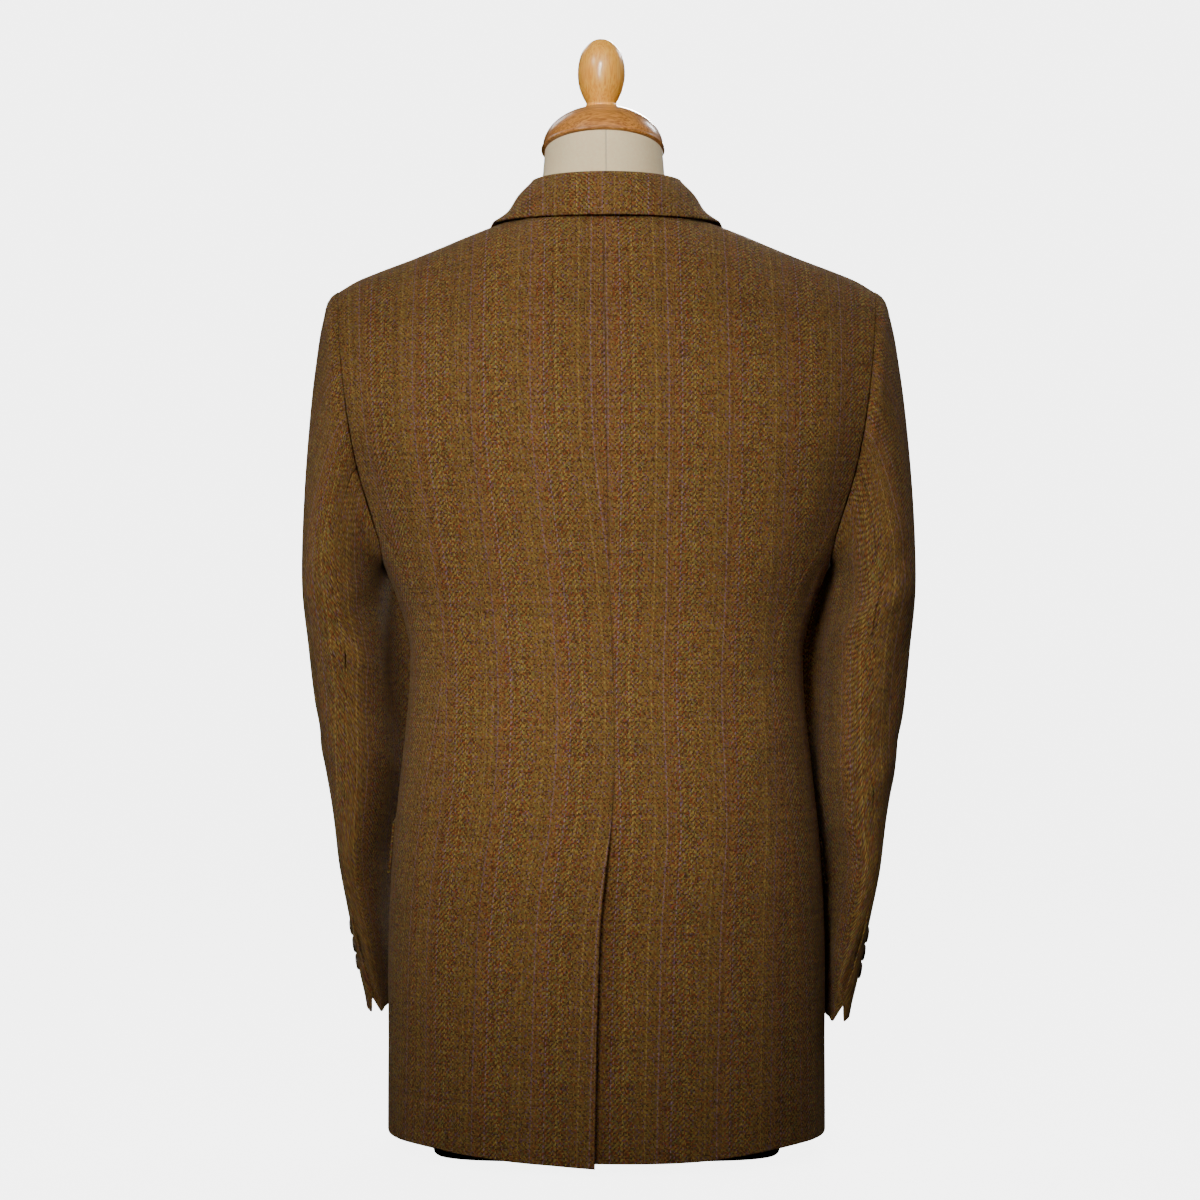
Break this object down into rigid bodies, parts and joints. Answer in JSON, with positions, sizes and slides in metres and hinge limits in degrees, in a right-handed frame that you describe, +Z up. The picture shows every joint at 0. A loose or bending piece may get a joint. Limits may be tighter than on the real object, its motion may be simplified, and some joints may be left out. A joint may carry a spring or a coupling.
{
  "type": "tweed hacking jacket on a limbless dress form",
  "caption": "Single-breasted tweed hacking jacket with notch lapels, slanted hip flaps and a long centre vent, worn by a limbless dress form on a flat base board.",
  "frame": {"origin": "middle of the base board's underside, the face the part rests on", "axes": "+Z up, the jacket's front faces -Y, the wearer's left is +X"},
  "size_m": [0.5325, 0.2925, 0.9672],
  "materials": {
    "tweed": "matte",
    "linen": "matte",
    "beech": "satin",
    "horn": "satin"
  },
  "bodies": {
    "root": {"back_left": "tweed", "back_right": "tweed", "side_left": "tweed", "side_right": "tweed", "front_left": "tweed", "front_right": "tweed", "lapel_left": "tweed", "lapel_right": "tweed", "collar": "tweed", "top_sleeve_left": "tweed", "top_sleeve_right": "tweed", "under_sleeve_left": "tweed", "under_sleeve_right": "tweed", "flap_left": "tweed", "flap_right": "tweed", "front_button_1": "horn", "front_button_2": "horn", "front_button_3": "horn", "cuff_button_left_1": "horn", "cuff_button_left_2": "horn", "cuff_button_left_3": "horn", "cuff_button_right_1": "horn", "cuff_button_right_2": "horn", "cuff_button_right_3": "horn", "torso": "linen", "neck_cap": "beech", "knob": "beech", "base_board": "beech"}
  },
  "joints": []
}
